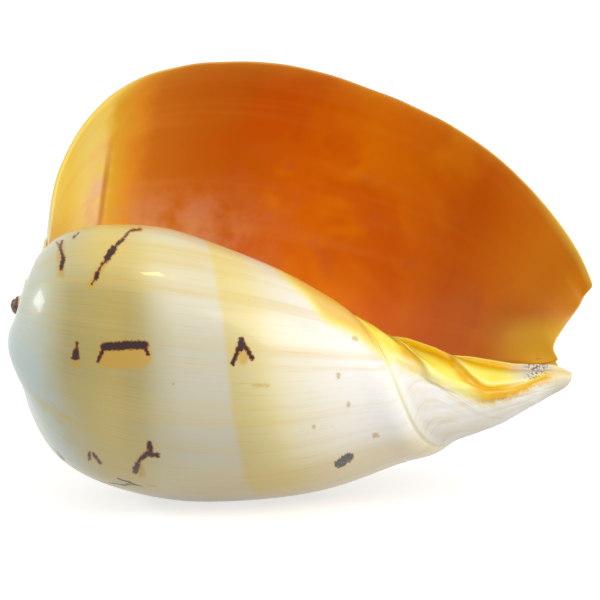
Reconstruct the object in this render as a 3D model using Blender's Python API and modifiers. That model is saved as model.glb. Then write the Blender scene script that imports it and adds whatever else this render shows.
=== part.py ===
"""Melon shell: one spiral wall grown from the apex to the lip, with its folded pillar.
All lengths are metres. X runs from the apex to the siphonal end, Z is up."""
import math

import bmesh
import bpy
import numpy as np
from mathutils import Matrix

NAME = "melon_shell"

# growth: each full turn multiplies the distance from the axis and along the axis
OUT_PER_TURN = 3.5
ALONG_PER_TURN = 1.9
TURNS = 2.7
LIP_ANGLE = 335.0  # where the lip stands round the axis, 0 is straight up

# the outer wall at the lip, suture first: (along the axis, out from the axis)
WHORL_PROFILE = (
    (0.0108, 0.0144), (0.0097, 0.0209), (0.0087, 0.0360), (0.0094, 0.0511),
    (0.0151, 0.0684), (0.0288, 0.0900), (0.0468, 0.1012), (0.0662, 0.1062),
    (0.0914, 0.1073), (0.1123, 0.1037), (0.1343, 0.0976), (0.1526, 0.0900),
    (0.1696, 0.0792), (0.1865, 0.0637), (0.2002, 0.0452), (0.2052, 0.0338),
)
WALL_STAGES = (-2.7, -1.5, -1.0, -0.5, -0.25, -0.05, 0.0)  # in turns, 0 is the lip
WALL_AT_STAGE = (0.0016, 0.0022, 0.0029, 0.0029, 0.0024, 0.0019, 0.0016)
SHOULDER_GAIN = 1.6  # the shoulder is this much thicker
SWELL = 0.50  # how much the belly swells beside the fasciole, half a turn back
SHOULDER_SET = 0.0058  # how far the shoulder reaches back, half a turn back

TIP = 0.2020  # siphonal tip, along the axis
TIP_RADIUS = 0.0012
PILLAR_RADIUS = 0.0048  # inside the body
NOTCH_RADIUS = 0.0162
NOTCH_CENTRE = (0.2110, 0.0151)  # along the axis, above the axis
FOLD_HEIGHT = 0.0019
FOLD_WIDTH = 0.17
RIDGE_LAP = 0.020  # the siphonal end runs under the wall, in turns
CALLUS = 0.0005

PROTOCONCH_RADIUS = 0.0034
PROTOCONCH_ALONG = -0.0008

NOSE_DOWN = 7.0  # the axis slopes to the siphonal end, at rest
ROLL = 12.0  # turn round the axis, at rest
REST_CUT = 0.0005  # depth of the worn flat that it rests on

VOXEL = 0.0008
TRIANGLES = 9000


def clear():
    for ob in list(bpy.data.objects):
        bpy.data.objects.remove(ob)


def ease(low, high, x):
    q = np.clip((x - low) / (high - low), 0.0, 1.0)
    return q * q * (3.0 - 2.0 * q)


def curve_through(points, count):
    """Even points on a natural cubic curve through the given ones."""
    pts = np.array(points, float)
    gap = np.hypot(*np.diff(pts, axis=0).T)
    run = np.concatenate([[0.0], np.cumsum(gap)])
    last = len(pts) - 1
    lhs = np.eye(last + 1)
    rhs = np.zeros_like(pts)
    for i in range(1, last):
        lhs[i, i - 1:i + 2] = gap[i - 1], 2.0 * (gap[i - 1] + gap[i]), gap[i]
        rise = (pts[i + 1] - pts[i]) / gap[i] - (pts[i] - pts[i - 1]) / gap[i - 1]
        rhs[i] = 6.0 * rise
    bend = np.linalg.solve(lhs, rhs)
    at = np.linspace(0.0, run[-1], count)
    k = np.clip(np.searchsorted(run, at, side="right") - 1, 0, last - 1)
    step = gap[k][:, None]
    far = (run[k + 1] - at)[:, None]
    near = (at - run[k])[:, None]
    out = (bend[k] * far ** 3 + bend[k + 1] * near ** 3) / (6.0 * step)
    out += (pts[k] / step - bend[k] * step / 6.0) * far
    out += (pts[k + 1] / step - bend[k + 1] * step / 6.0) * near
    return out


def wall_point(turn, along, out):
    """A point of the lip profile carried back to an earlier growth stage."""
    back = np.sin(np.pi * turn) ** 2
    low = np.clip((along - 0.158) / 0.047, 0.0, 1.0) ** 4
    set_back = SHOULDER_SET * (1.0 - ease(0.011, 0.054, along))
    x = (along - set_back * back) * ALONG_PER_TURN ** turn
    r = out * OUT_PER_TURN ** turn * np.exp(SWELL * low * back)
    return x, r


def ridge_point(turn):
    """The keel beside the fasciole, where the wall ends and the siphonal end starts."""
    return wall_point(turn, *WHORL_PROFILE[-1])


def ridge_turn(x):
    return math.log(x / WHORL_PROFILE[-1][0]) / math.log(ALONG_PER_TURN)


def around(x, r, turn):
    a = np.radians(LIP_ANGLE + 360.0 * turn)
    return np.stack([x + 0.0 * r, -r * np.sin(a), r * np.cos(a)], -1)


def pillar_radius(x):
    return PILLAR_RADIUS + (TIP_RADIUS - PILLAR_RADIUS) * ease(0.130, 0.165, x)


def fasciole_radius(x, turn):
    """Distance from the axis of the siphonal end, past the ridge."""
    xr, rr = ridge_point(turn)
    share = np.clip((x - xr) / (TIP - xr), 0.0, 1.0)
    power = 0.64 + 2.3 * np.clip((-0.62 - turn) / 0.33, 0.0, 1.0) ** 1.2
    core = min(pillar_radius(x), rr * 0.8)
    return core + (rr - core) * (1.0 - share) ** power


def callus_edge(x):
    """Height of the lower edge of the glaze on the front of the pillar."""
    stations = (0.115, 0.123, 0.131, 0.146, 0.157, 0.172, 0.181, 0.194, 0.202)
    heights = (0.008, 0.0031, -0.002, -0.0071, -0.0109, -0.0151, -0.012, -0.0041, -0.0007)
    return float(np.interp(x, stations, heights))


def fold_height(x, v):
    """Three folds on the pillar, v is 0 on its crest and 1 at the edge of the glaze."""
    paths = (
        ((0.118, -0.10), (0.141, 0.49), (0.148, 0.82), (0.157, 0.94), (0.166, 0.98)),
        ((0.131, -0.12), (0.141, 0.02), (0.159, 0.35), (0.165, 0.56), (0.179, 0.74)),
        ((0.156, -0.12), (0.168, 0.0), (0.182, 0.06), (0.192, 0.12), (0.202, 0.2)),
    )
    total = 0.0
    for path in paths:
        xs, vs = zip(*path)
        centre = np.interp(x, xs, vs)
        grow = ease(xs[0] - 0.012, xs[0] + 0.004, x) * (1.0 - ease(xs[-1] - 0.006, xs[-1] + 0.006, x))
        total += grow * math.exp(-((v - centre) / FOLD_WIDTH) ** 2)
    return FOLD_HEIGHT * total


def siphon_ring(x, count):
    """Closed ring round the siphonal end at one distance along the axis."""
    top = ridge_turn(x) + RIDGE_LAP
    edge = callus_edge(x)
    turns = np.linspace(top - 1.0, top, count, endpoint=False)
    radii = np.array([fasciole_radius(x, turn) for turn in turns])
    ring = around(np.full(count, x), radii, turns)
    angle = LIP_ANGLE + 360.0 * turns

    # the front face, from the crest of the pillar down to the edge of the glaze
    fine = np.linspace(40.0, 170.0, 131)
    heights = [fasciole_radius(x, (a - LIP_ANGLE) / 360.0) * math.cos(math.radians(a)) for a in fine]
    foot_angle = float(np.interp(-edge, -np.array(heights), fine))
    foot = around(x, np.array(fasciole_radius(x, (foot_angle - LIP_ANGLE) / 360.0)),
                  (foot_angle - LIP_ANGLE) / 360.0)
    crest = fasciole_radius(x, -LIP_ANGLE / 360.0)
    for i in range(count):
        v = angle[i] / foot_angle
        if v < -0.25 or v > 1.0 or turns[i] > top - 0.02:
            continue
        past_ridge = x - ridge_point(turns[i])[0]
        blend = float(ease(0.002, 0.024, past_ridge) * ease(0.116, 0.140, x) * ease(-0.25, 0.05, v))
        arc = np.array([
            x,
            foot[1] * math.sin(max(v, 0.0) * math.pi / 2.0),
            crest + (foot[2] - crest) * (1.0 - math.cos(v * math.pi / 2.0)),
        ])
        p = ring[i] * (1.0 - blend) + arc * blend
        out = np.array([0.0, p[1], p[2] + 0.010])
        out /= np.linalg.norm(out) + 1e-9
        rise = fold_height(x, v) + CALLUS * float(ease(0.0, 0.06, 1.0 - v))
        ring[i] = p + out * rise * float(ease(0.0, 0.012, past_ridge + 0.006))
    return ring


def loft(name, rings):
    """A closed solid through rings of equal count, with a cap at each end."""
    bm = bmesh.new()
    rows = []
    for ring in rings:
        rows.append([bm.verts.new(p) for p in ring])
    count = len(rows[0])
    for low, high in zip(rows[:-1], rows[1:]):
        for i in range(count):
            j = (i + 1) % count
            bm.faces.new((low[i], low[j], high[j], high[i]))
    for row in (rows[0], rows[-1]):
        centre = bm.verts.new(sum((v.co for v in row), row[0].co * 0.0) / count)
        for i in range(count):
            bm.faces.new((row[i], row[(i + 1) % count], centre))
    bmesh.ops.recalc_face_normals(bm, faces=bm.faces)
    mesh = bpy.data.meshes.new(name)
    bm.to_mesh(mesh)
    bm.free()
    return mesh


def wall_thickness(turn, along):
    stage = float(np.interp(turn, WALL_STAGES, WALL_AT_STAGE))
    return stage * (1.0 + (SHOULDER_GAIN - 1.0) * (1.0 - float(ease(0.018, 0.060, along))))


def wall_mesh(turn_steps, profile_steps):
    """The open sheet of the spiral wall, its thickness stored as a vertex weight."""
    profile = curve_through(WHORL_PROFILE, profile_steps)
    thickest = max(WALL_AT_STAGE) * SHOULDER_GAIN
    bm = bmesh.new()
    layer = bm.verts.layers.deform.verify()
    rows = []
    for turn in np.linspace(-TURNS, 0.0, turn_steps):
        x, r = wall_point(turn, profile[:, 0], profile[:, 1])
        row = []
        for p, along in zip(around(x, r, turn), profile[:, 0]):
            v = bm.verts.new(p)
            v[layer][0] = wall_thickness(turn, along) / thickest
            row.append(v)
        rows.append(row)
    for low, high in zip(rows[:-1], rows[1:]):
        for i in range(profile_steps - 1):
            bm.faces.new((low[i], low[i + 1], high[i + 1], high[i]))
    mesh = bpy.data.meshes.new("wall")
    bm.to_mesh(mesh)
    bm.free()
    return mesh


def evaluated(ob):
    graph = bpy.context.evaluated_depsgraph_get()
    return bpy.data.meshes.new_from_object(ob.evaluated_get(graph))


def add_object(name, mesh, where):
    ob = bpy.data.objects.new(name, mesh)
    where.objects.link(ob)
    return ob


def keep_largest(mesh):
    """Crumbs left by the fusing are dropped."""
    bm = bmesh.new()
    bm.from_mesh(mesh)
    groups = []
    seen = set()
    for seed in bm.verts:
        if seed in seen:
            continue
        group = [seed]
        seen.add(seed)
        for v in group:
            for e in v.link_edges:
                other = e.other_vert(v)
                if other not in seen:
                    seen.add(other)
                    group.append(other)
        groups.append(group)
    groups.sort(key=len)
    for group in groups[:-1]:
        bmesh.ops.delete(bm, geom=group, context="VERTS")
    bm.to_mesh(mesh)
    bm.free()


def hide(ob):
    ob.hide_render = True
    ob.display_type = "WIRE"


def subtract(ob, cutter):
    cut = ob.modifiers.new("cut", "BOOLEAN")
    cut.operation = "DIFFERENCE"
    cut.solver = "EXACT"
    cut.object = cutter
    ob.data = evaluated(ob)
    ob.modifiers.clear()
    hide(cutter)


def main():
    clear()
    scene = bpy.context.scene
    part = bpy.data.collections.new("melon_shell_object")
    cutters = bpy.data.collections.new("cutters")
    scene.collection.children.link(part)
    scene.collection.children.link(cutters)

    # wall sheet, thickened inward
    wall = add_object("wall_sheet", wall_mesh(241, 56), cutters)
    wall.vertex_groups.new(name="thickness")
    solid = wall.modifiers.new("thickness", "SOLIDIFY")
    solid.thickness = max(WALL_AT_STAGE) * SHOULDER_GAIN
    solid.offset = -1.0
    solid.vertex_group = "thickness"
    solid.thickness_vertex_group = 0.0

    # siphonal end with the pillar
    stations = np.concatenate([np.linspace(0.040, 0.110, 15), np.linspace(0.1135, TIP, 50)])
    siphon = add_object("siphon", loft("siphon", [siphon_ring(float(x), 144) for x in stations]), cutters)

    # first whorl
    bpy.ops.mesh.primitive_uv_sphere_add(segments=24, ring_count=12, radius=PROTOCONCH_RADIUS,
                                         location=(PROTOCONCH_ALONG, 0.0, 0.0))
    bud = bpy.context.active_object
    bud.data.transform(bud.matrix_world)
    bud.name = "first_whorl"

    # all three grown into one body
    bm = bmesh.new()
    for ob in (wall, siphon, bud):
        bm.from_mesh(evaluated(ob))
    body = bpy.data.meshes.new(NAME)
    bm.to_mesh(body)
    bm.free()
    bpy.data.objects.remove(bud)
    hide(wall)
    hide(siphon)
    shell = add_object(NAME, body, part)
    fuse = shell.modifiers.new("fuse", "REMESH")
    fuse.mode = "VOXEL"
    fuse.voxel_size = VOXEL
    shell.data = evaluated(shell)
    shell.modifiers.clear()
    keep_largest(shell.data)

    # fewer faces, then the siphonal notch
    fewer = shell.modifiers.new("fewer", "DECIMATE")
    fewer.ratio = TRIANGLES / (2.0 * len(shell.data.polygons))
    shell.data = evaluated(shell)
    shell.modifiers.clear()
    bpy.ops.mesh.primitive_cylinder_add(vertices=48, radius=NOTCH_RADIUS, depth=0.24,
                                        location=(NOTCH_CENTRE[0], 0.0, NOTCH_CENTRE[1]),
                                        rotation=(math.pi / 2.0, 0.0, 0.0))
    notch = bpy.context.active_object
    notch.name = "notch_cutter"
    subtract(shell, notch)

    # as it lies: nose down, rolled back, then the worn flat under the belly
    turn = Matrix.Rotation(math.radians(-ROLL), 4, "X") @ Matrix.Rotation(math.radians(NOSE_DOWN), 4, "Y")
    shell.data.transform(turn)
    co = np.array([v.co[:] for v in shell.data.vertices])
    low, high = co.min(0), co.max(0)
    shell.data.transform(Matrix.Translation((-(low[0] + high[0]) / 2.0, -(low[1] + high[1]) / 2.0,
                                             -low[2] - REST_CUT)))
    bpy.ops.mesh.primitive_cube_add(size=0.1, location=(0.0, 0.0, -0.05))
    table = bpy.context.active_object
    table.name = "flat_cutter"
    table.scale = (4.0, 4.0, 1.0)
    bpy.context.view_layer.update()
    subtract(shell, table)

    skin = bpy.data.materials.new("shell_skin")
    skin.use_nodes = True
    node = skin.node_tree.nodes["Principled BSDF"]
    node.inputs["Base Color"].default_value = (0.80, 0.72, 0.55, 1.0)
    node.inputs["Roughness"].default_value = 0.30
    node.inputs["Metallic"].default_value = 0.0
    shell.data.materials.clear()
    shell.data.materials.append(skin)


if __name__ == "__main__":
    main()
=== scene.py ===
import math

import bpy
import numpy as np
from mathutils import Matrix, Vector


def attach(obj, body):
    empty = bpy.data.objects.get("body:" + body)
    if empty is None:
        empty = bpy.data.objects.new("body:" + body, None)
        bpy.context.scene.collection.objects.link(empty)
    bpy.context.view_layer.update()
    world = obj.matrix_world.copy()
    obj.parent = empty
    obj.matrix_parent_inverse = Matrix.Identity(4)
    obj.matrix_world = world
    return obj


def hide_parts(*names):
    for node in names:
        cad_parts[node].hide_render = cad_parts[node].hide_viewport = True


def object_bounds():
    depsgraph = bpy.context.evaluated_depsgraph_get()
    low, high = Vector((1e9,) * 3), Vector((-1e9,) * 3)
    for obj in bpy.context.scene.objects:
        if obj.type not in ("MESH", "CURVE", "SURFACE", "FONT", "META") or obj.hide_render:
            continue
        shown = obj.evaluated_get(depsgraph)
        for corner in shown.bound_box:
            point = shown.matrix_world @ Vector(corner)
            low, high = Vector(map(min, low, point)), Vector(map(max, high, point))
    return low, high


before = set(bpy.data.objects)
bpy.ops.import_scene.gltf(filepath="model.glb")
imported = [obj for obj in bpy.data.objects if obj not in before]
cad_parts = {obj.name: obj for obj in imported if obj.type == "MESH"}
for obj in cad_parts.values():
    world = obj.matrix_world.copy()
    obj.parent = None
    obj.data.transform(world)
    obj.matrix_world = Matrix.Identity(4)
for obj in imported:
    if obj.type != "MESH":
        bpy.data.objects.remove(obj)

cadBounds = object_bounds()
print("frame loaded, box", [round(v, 4) for corner in cadBounds for v in corner])

# Everything is shaped with the shell's own axis on X, apex at the origin and the
# belly towards -Y, and is laid down in its resting place at the end.
growth = {
    "outPerTurn": 3.5,        # each full turn multiplies the distance from the axis
    "alongPerTurn": 1.9,      # and the distance along the axis
    "lipAngle": 335.0,        # where the lip stands round the axis, 0 is straight up
    "noseDown": 7.0,
    "roll": 12.0,
    "sink": 0.0004,           # the belly is worn flat by this much
}
roundTurn = 6.283


def ease(low, high, x):
    q = np.clip((x - low) / (high - low), 0.0, 1.0)
    return q * q * (3.0 - 2.0 * q)


def angleAt(turn):
    return growth["lipAngle"] + 360.0 * turn


def turnAt(angle):
    return (angle - growth["lipAngle"]) / 360.0


def around(x, r, turn):
    a = np.radians(angleAt(turn))
    return np.stack([x + 0.0 * r, -r * np.sin(a), r * np.cos(a)], -1)


def curveThrough(points, count):   # even points on a natural cubic curve
    pts = np.array(points, float)
    gap = np.hypot(*np.diff(pts, axis=0).T)
    run = np.concatenate([[0.0], np.cumsum(gap)])
    last = len(pts) - 1
    lhs = np.eye(last + 1)
    rhs = np.zeros_like(pts)
    for i in range(1, last):
        lhs[i, i - 1:i + 2] = gap[i - 1], 2.0 * (gap[i - 1] + gap[i]), gap[i]
        rhs[i] = 6.0 * ((pts[i + 1] - pts[i]) / gap[i] - (pts[i] - pts[i - 1]) / gap[i - 1])
    bend = np.linalg.solve(lhs, rhs)
    at = np.linspace(0.0, run[-1], count)
    k = np.clip(np.searchsorted(run, at, side="right") - 1, 0, last - 1)
    step, far, near = gap[k][:, None], (run[k + 1] - at)[:, None], (at - run[k])[:, None]
    out = (bend[k] * far ** 3 + bend[k + 1] * near ** 3) / (6.0 * step)
    out += (pts[k] / step - bend[k] * step / 6.0) * far
    out += (pts[k + 1] / step - bend[k + 1] * step / 6.0) * near
    return out, at


def bell(turn, shape):   # shape: how much, at which turn, how wide
    most, at, wide = shape
    return most * np.exp(-((turn - at) / wide) ** 2)


def noise1(x, seed):   # smooth repeatable waves from -1 to 1 along a line
    rng = np.random.default_rng(seed)
    total = np.zeros_like(x)
    for k in range(6):
        total += np.sin(x * (1.0 + 1.7 * k * rng.random()) * roundTurn + rng.random() * roundTurn) / (1.0 + k)
    return total / 2.4


def deselectAll():
    if bpy.context.object and bpy.context.object.mode != "OBJECT":
        bpy.ops.object.mode_set(mode="OBJECT")
    bpy.ops.object.select_all(action="DESELECT")


def makeActive(ob):
    deselectAll()
    ob.select_set(True)
    bpy.context.view_layer.objects.active = ob


def coords(me):
    flat = np.zeros(len(me.vertices) * 3)
    me.vertices.foreach_get("co", flat)
    return flat.reshape(-1, 3)


def setCoords(me, co):
    me.vertices.foreach_set("co", co.ravel())
    me.update()


def applyModifiers(ob):
    makeActive(ob)
    for m in list(ob.modifiers):
        bpy.ops.object.modifier_apply(modifier=m.name)


def faceOutwards(ob):
    makeActive(ob)
    bpy.ops.object.mode_set(mode="EDIT")
    bpy.ops.mesh.select_all(action="SELECT")
    bpy.ops.mesh.normals_make_consistent(inside=False)
    bpy.ops.object.mode_set(mode="OBJECT")


def storeVector(me, name, values):
    layer = me.attributes.new(name, "FLOAT_VECTOR", "POINT")
    layer.data.foreach_set("vector", np.asarray(values, float).ravel())


# The spiral shape is shared by the whorls and the siphonal end.

spiral = {
    # the outer wall at the lip, suture first: (along the axis, out from the axis)
    "profile": (
        (0.0108, 0.0144), (0.0097, 0.0209), (0.0087, 0.0360), (0.0094, 0.0511),
        (0.0151, 0.0684), (0.0288, 0.0900), (0.0468, 0.1012), (0.0662, 0.1062),
        (0.0914, 0.1073), (0.1123, 0.1037), (0.1343, 0.0976), (0.1526, 0.0900),
        (0.1696, 0.0792), (0.1865, 0.0637), (0.2002, 0.0452), (0.2052, 0.0338),
    ),
    "swell": 0.50,            # the belly swells beside the fasciole, half a turn back
    "swellAlong": (0.158, 0.047),      # from where, and over how far
    # shoulderSet, knob, dip and sag each give how much, at which turn and how wide
    "shoulderSet": (0.0062, -0.66, 0.135),
    "shoulderAlong": (0.011, 0.054),
    "knob": (0.0056, -0.57, 0.060),    # a worn knob low on the shoulder
    "knobAlong": (0.010, 0.030),
    "sutureOut": (0.0150, 0.0340),     # the suture stays where it is
    "dip": (0.172, -0.965, 0.115),     # the belly is lower where it turns into the mouth
    "dipAlong": (0.085, 0.165),
    "dipEnd": (0.185, 0.2052),         # and rises again by this share at the front
    "dipRise": 0.45,
    "sag": (0.020, -0.44, 0.10),       # and it's a little flatter underneath
    "flareTurns": (-0.30, -0.03),
    # near the lip each point moves out a little: along the axis, out, back along the axis
    "lipFlare": ((0.0087, 0.0160, 0.0300, 0.0600, 0.1000, 0.1500, 0.1900, 0.2052),
                 (0.0014, 0.0019, 0.0020, 0.0018, 0.0018, 0.0012, 0.0009, 0.0010),
                 (0.0008, 0.0020, 0.0013, 0.0002, 0.0000, 0.0000, -0.0006, -0.0012)),
    "tipSlim": 0.24,          # the underside of the front tip is slimmer
    "slimAlong": (0.178, 0.198),
    "slimTurns": (-0.34, -0.22),
    "tip": 0.2020,
    "tipRadius": 0.0012,
    "pillarRadius": 0.0048,
    "pillarTaper": (0.130, 0.165),
    "pillarShare": 0.8,       # the most of the fasciole's radius that the pillar takes
    "fasciolePower": 0.64,    # how it narrows to the tip, and how much more hollow it is behind
    "hollowPower": 2.3,
    "hollowTurns": (-0.62, 0.33),
    # the edge of the notch at the front end: height above the axis, along the axis
    "notchEdge": ((0.0002, 0.0024, 0.0065, 0.0113, 0.0170, 0.0232, 0.0306),
                  (0.2020, 0.1966, 0.1947, 0.1955, 0.1984, 0.2018, 0.2056)),
    "notchDeepest": 2,        # the point of that edge that lies furthest back
    # height of the lower edge of the golden glaze on the front of the pillar: along the axis, height
    "glazeEdge": ((0.060, 0.080, 0.094, 0.104, 0.111, 0.123, 0.131, 0.146, 0.157, 0.172, 0.181, 0.194, 0.202),
                  (0.044, 0.0325, 0.0215, 0.014, 0.0071, 0.0031, -0.002, -0.0071, -0.0109, -0.0151, -0.012,
                   -0.0041, -0.0007)),
    "bandPerTurn": 2.4,       # how the colour bands widen with growth
}
ridgeAlong, ridgeOut = spiral["profile"][-1]


def bellySwell(along, turn):
    start, length = spiral["swellAlong"]
    low = np.clip((along - start) / length, 0.0, 1.0) ** 4
    return np.exp(spiral["swell"] * low * np.sin(math.pi * turn) ** 2)


def wallPoint(turn, along, out):
    s = spiral
    offSuture = ease(*s["sutureOut"], out)
    setBack = bell(turn, s["shoulderSet"]) * (1.0 - ease(*s["shoulderAlong"], along)) * offSuture
    setBack = setBack + bell(turn, s["knob"]) * (1.0 - ease(*s["knobAlong"], along)) * offSuture
    nearLip = ease(*s["flareTurns"], turn)
    flareAt, flareOut, flareBack = s["lipFlare"]
    x = (along - setBack) * growth["alongPerTurn"] ** turn - nearLip * np.interp(along, flareAt, flareBack)
    dip = bell(turn, s["dip"]) * ease(*s["dipAlong"], along) * (1.0 - s["dipRise"] * ease(*s["dipEnd"], along))
    r = out * growth["outPerTurn"] ** turn * bellySwell(along, turn)
    return x, r * (1.0 - (dip + bell(turn, s["sag"]))) + nearLip * np.interp(along, flareAt, flareOut)


def notchAlong(height):
    return np.interp(height, *spiral["notchEdge"])


def ridgeTurn(x):
    return np.log(x / ridgeAlong) / math.log(growth["alongPerTurn"])


def glazeEdge(x):
    return np.interp(x, *spiral["glazeEdge"])


def pillarRadius(x):
    s = spiral
    return s["pillarRadius"] + (s["tipRadius"] - s["pillarRadius"]) * ease(*s["pillarTaper"], x)


def fascioleRadius(x, turn):
    s = spiral
    xr, rr = wallPoint(turn, ridgeAlong, ridgeOut)
    share = np.clip((x - xr) / (s["tip"] - xr), 0.0, 1.0)
    start, length = s["hollowTurns"]
    power = s["fasciolePower"] + s["hollowPower"] * np.clip((start - turn) / length, 0.0, 1.0) ** 1.2
    core = np.minimum(pillarRadius(x), rr * s["pillarShare"])
    slim = 1.0 - s["tipSlim"] * ease(*s["slimAlong"], x) * (1.0 - ease(*s["slimTurns"], turn))
    return core + (rr - core) * (1.0 - share) ** power * slim


# Whorls: the lip profile is drawn once, then grown round the axis.

whorls = {
    "turns": 2.7,
    "coarseStep": 12.0,       # degrees of growth per ring in the hidden early turns
    "fineStep": 2.8,          # and in the last turn
    "fineTurns": 1.1,
    "profilePoints": 60,
    "stages": (-2.7, -1.5, -1.0, -0.5, -0.25, -0.05, 0.0),
    "thickness": (0.0016, 0.0022, 0.0028, 0.0027, 0.0022, 0.0016, 0.0010),
    "shoulderGain": 1.6,
    "shoulderThick": (0.018, 0.060),
    "creaseAlong": 0.031,     # a soft crease inside, where the shoulder turns
    "creaseDepth": 0.0007,
    "creaseWidth": 0.0045,
    "creaseTurns": ((-0.35, -0.22), (-0.06, -0.01)),
    "roundWave": 0.0022,      # how far it is from evenly round
    "waveTurns": (-1.3, -0.9),
    "lipWave": 0.0016,        # in turns
    "drawnFrom": 0.93,        # the part of each ring that is drawn out beside the notch
    "drawnTurns": (-0.200, -0.155),
    "drawnWay": (0.8, 0.6),   # forwards and down
    "drawnMost": 0.0116,
    "drawnSteps": 233,
    "drawnClear": 0.0006,     # it stays this far outside the fasciole
    "drawnThin": 0.8,         # and loses this share of its thickness
    "thinTurns": (-0.20, -0.14),
    # the glaze comes in over these parts of the front and of the mouth, and is held back by so much before them
    "glazeFront": ((0.050, 0.085), (0.060, 0.090), 0.03),
    "glazeMouth": ((0.058, 0.076), 0.06),
    "glazeLimit": 0.05,
}


def growWhorls():
    w = whorls
    profile, reach = curveThrough(spiral["profile"], w["profilePoints"])
    first = -w["turns"]
    coarse = np.arange(first, -w["fineTurns"], w["coarseStep"] / 360.0)
    fine = np.linspace(-w["fineTurns"], 0.0, int(w["fineTurns"] * 360.0 / w["fineStep"]) + 1)
    stages = np.concatenate([coarse, fine])

    # one vertex pulled along the lip profile
    deselectAll()
    bpy.ops.mesh.primitive_plane_add(size=0.001)
    ob = bpy.context.object
    ob.name = "whorls"
    bpy.ops.object.mode_set(mode="EDIT")
    bpy.ops.mesh.select_all(action="SELECT")
    bpy.ops.mesh.merge(type="CENTER")
    small = np.array([growth["alongPerTurn"] ** first, growth["outPerTurn"] ** first])
    drawn = around(profile[:, 0] * small[0], profile[:, 1] * small[1], first)
    bpy.ops.transform.translate(value=drawn[0])
    for step in np.diff(drawn, axis=0):
        bpy.ops.mesh.extrude_region_move(TRANSFORM_OT_translate={"value": step})

    # the whole row pulled out, enlarged and turned, ring after ring
    bpy.ops.mesh.select_all(action="SELECT")
    for step in np.diff(stages):
        longer, wider = growth["alongPerTurn"] ** step, growth["outPerTurn"] ** step
        bpy.ops.mesh.extrude_region_move()
        bpy.ops.transform.resize(value=(longer, wider, wider), center_override=(0, 0, 0))
        bpy.ops.transform.rotate(value=-math.radians(360.0 * step), orient_axis="X",
                                 orient_type="GLOBAL", center_override=(0, 0, 0))
    bpy.ops.object.mode_set(mode="OBJECT")
    me = ob.data
    count = w["profilePoints"]
    co = coords(me)
    turn = np.repeat(stages, count)
    along = np.tile(profile[:, 0], len(stages))
    out = np.tile(profile[:, 1], len(stages))
    far = np.tile(reach, len(stages))

    # near the lip the front end of each ring is drawn out to the notch
    x, r = wallPoint(turn, along, out)
    outer = np.clip((reach / reach[-1] - w["drawnFrom"]) / (1.0 - w["drawnFrom"]), 0.0, 1.0)
    forwards, down = w["drawnWay"]
    for k, t in enumerate(stages):
        if t < w["drawnTurns"][0]:
            continue
        row = slice(k * count, (k + 1) * count)
        endX, endZ = x[row][-1], r[row][-1] * math.cos(math.radians(angleAt(t)))
        pull = np.linspace(0.0, w["drawnMost"], w["drawnSteps"])
        past = endX + forwards * pull > notchAlong(endZ - down * pull)
        pull = pull[np.argmax(past)] if past.any() else pull[-1]
        pull *= float(ease(*w["drawnTurns"], t))
        newX = endX + forwards * pull
        newR = r[row][-1] * (endZ - down * pull) / endZ
        newR = max(newR, float(fascioleRadius(newX, np.array(t))) + w["drawnClear"])
        x[row] += outer * (newX - endX)
        r[row] += outer ** 1.5 * (newR - r[row][-1])
    r = r * (1.0 + w["roundWave"] * noise1(turn * 7.0, 3) * ease(*w["waveTurns"], turn))
    wave = w["lipWave"] * noise1(far * 22.0, 8) * ease(-0.03, 0.0, turn)
    co = around(x, r, turn - np.abs(wave))
    setCoords(me, co)

    # thickness, thinner towards the lip, thicker at the shoulder
    stage = np.interp(turn, w["stages"], w["thickness"])
    wall = stage * (1.0 + (w["shoulderGain"] - 1.0) * (1.0 - ease(*w["shoulderThick"], along)))
    starts, ends = w["creaseTurns"]
    crease = bell(along, (w["creaseDepth"], w["creaseAlong"], w["creaseWidth"]))
    wall -= crease * ease(*starts, turn) * (1.0 - ease(*ends, turn))
    wall *= 1.0 - w["drawnThin"] * np.tile(outer, len(stages)) * ease(*w["thinTurns"], turn)
    group = ob.vertex_groups.new(name="thickness")
    most = wall.max()
    for i, v in enumerate(wall / most):
        group.add([i], float(v), "REPLACE")

    band = x * spiral["bandPerTurn"] ** (-turn)
    storeVector(me, "grown", np.stack([turn, band * 10.0, far * 10.0], -1))
    # how far the glaze reaches over it, in front and in the mouth
    comesIn, clear, heldBack = w["glazeFront"]
    glaze = (co[:, 2] - glazeEdge(co[:, 0])) * ease(*comesIn, co[:, 0]) - heldBack * (1.0 - ease(*clear, co[:, 0]))
    clear, heldBack = w["glazeMouth"]
    inMouth = (spiral["dip"][1] - turn) * roundTurn * r - heldBack * (1.0 - ease(*clear, far))
    glaze = np.maximum(np.where(co[:, 1] < 0.01, glaze, -1.0), inMouth)
    glaze = np.clip(glaze, -w["glazeLimit"], w["glazeLimit"])
    storeVector(me, "cover", np.stack([glaze * 100.0, 0.0 * r, 0.0 * r], -1))

    # normals outwards, then the wall gets its thickness inwards
    faceOutwards(ob)
    outward = sum(f.normal.dot(Vector((0.0, f.center.y, f.center.z))) for f in me.polygons)
    print("whorls face outwards by", round(outward, 3))
    if outward < 0.0:
        bpy.ops.object.mode_set(mode="EDIT")
        bpy.ops.mesh.flip_normals()
        bpy.ops.object.mode_set(mode="OBJECT")
    solid = ob.modifiers.new("wall", "SOLIDIFY")
    solid.thickness = most
    solid.offset = -1.0
    solid.vertex_group = "thickness"
    solid.thickness_vertex_group = 0.0
    solid.material_offset = 1
    solid.material_offset_rim = 2
    smooth = ob.modifiers.new("smooth", "SUBSURF")
    smooth.levels = smooth.render_levels = 1
    for skin in (outsideSkin, insideSkin, lipSkin):
        me.materials.append(skin.mat)
    applyModifiers(ob)
    return ob


# Siphonal end: rings along the axis, the pillar with its three folds in front and a channel behind.

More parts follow.
